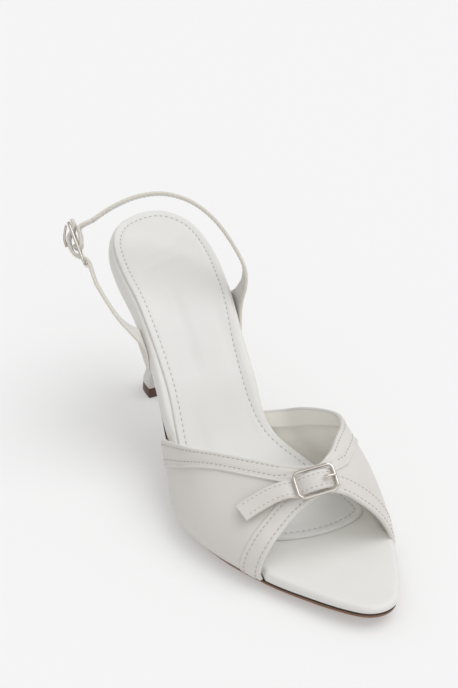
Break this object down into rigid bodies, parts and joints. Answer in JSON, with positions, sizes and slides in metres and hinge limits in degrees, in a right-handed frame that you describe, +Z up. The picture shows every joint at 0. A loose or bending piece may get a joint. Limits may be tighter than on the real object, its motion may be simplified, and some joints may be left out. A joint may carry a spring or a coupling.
{
  "type": "stiletto sandal",
  "caption": "White pointed sandal with a flared heel, a buckled vamp whose panels meet at the throat, a padded sock and a slack buckled ankle strap, for the right foot",
  "frame": {"origin": "centre of the resting face of the heel's top lift, on the floor", "axes": "+Y from heel to toe, +X to the wearer's right, the outer side of this right shoe, +Z up"},
  "size_m": [0.0895, 0.229, 0.1146],
  "materials": {
    "outsole": "smooth brown sole leather",
    "footbed": "smooth white leather wrap",
    "insole_sock": "smooth white padded sock",
    "heel": "smooth white heel cover",
    "top_lift": "brown wearing piece",
    "upper": "smooth white leather",
    "vamp_strap": "smooth white leather",
    "vamp_buckle": "polished",
    "vamp_prong": "polished",
    "ankle_strap_long": "smooth white leather",
    "ankle_strap_short": "smooth white leather",
    "ankle_buckle": "polished",
    "ankle_prong": "polished"
  },
  "bodies": {
    "root": {"outsole": "outsole", "footbed": "footbed", "insole_sock": "insole_sock", "heel": "heel", "top_lift": "top_lift", "upper": "upper", "vamp_strap": "vamp_strap", "vamp_buckle": "vamp_buckle", "vamp_prong": "vamp_prong", "ankle_strap_long": "ankle_strap_long", "ankle_strap_short": "ankle_strap_short", "ankle_buckle": "ankle_buckle", "ankle_prong": "ankle_prong"}
  },
  "joints": []
}
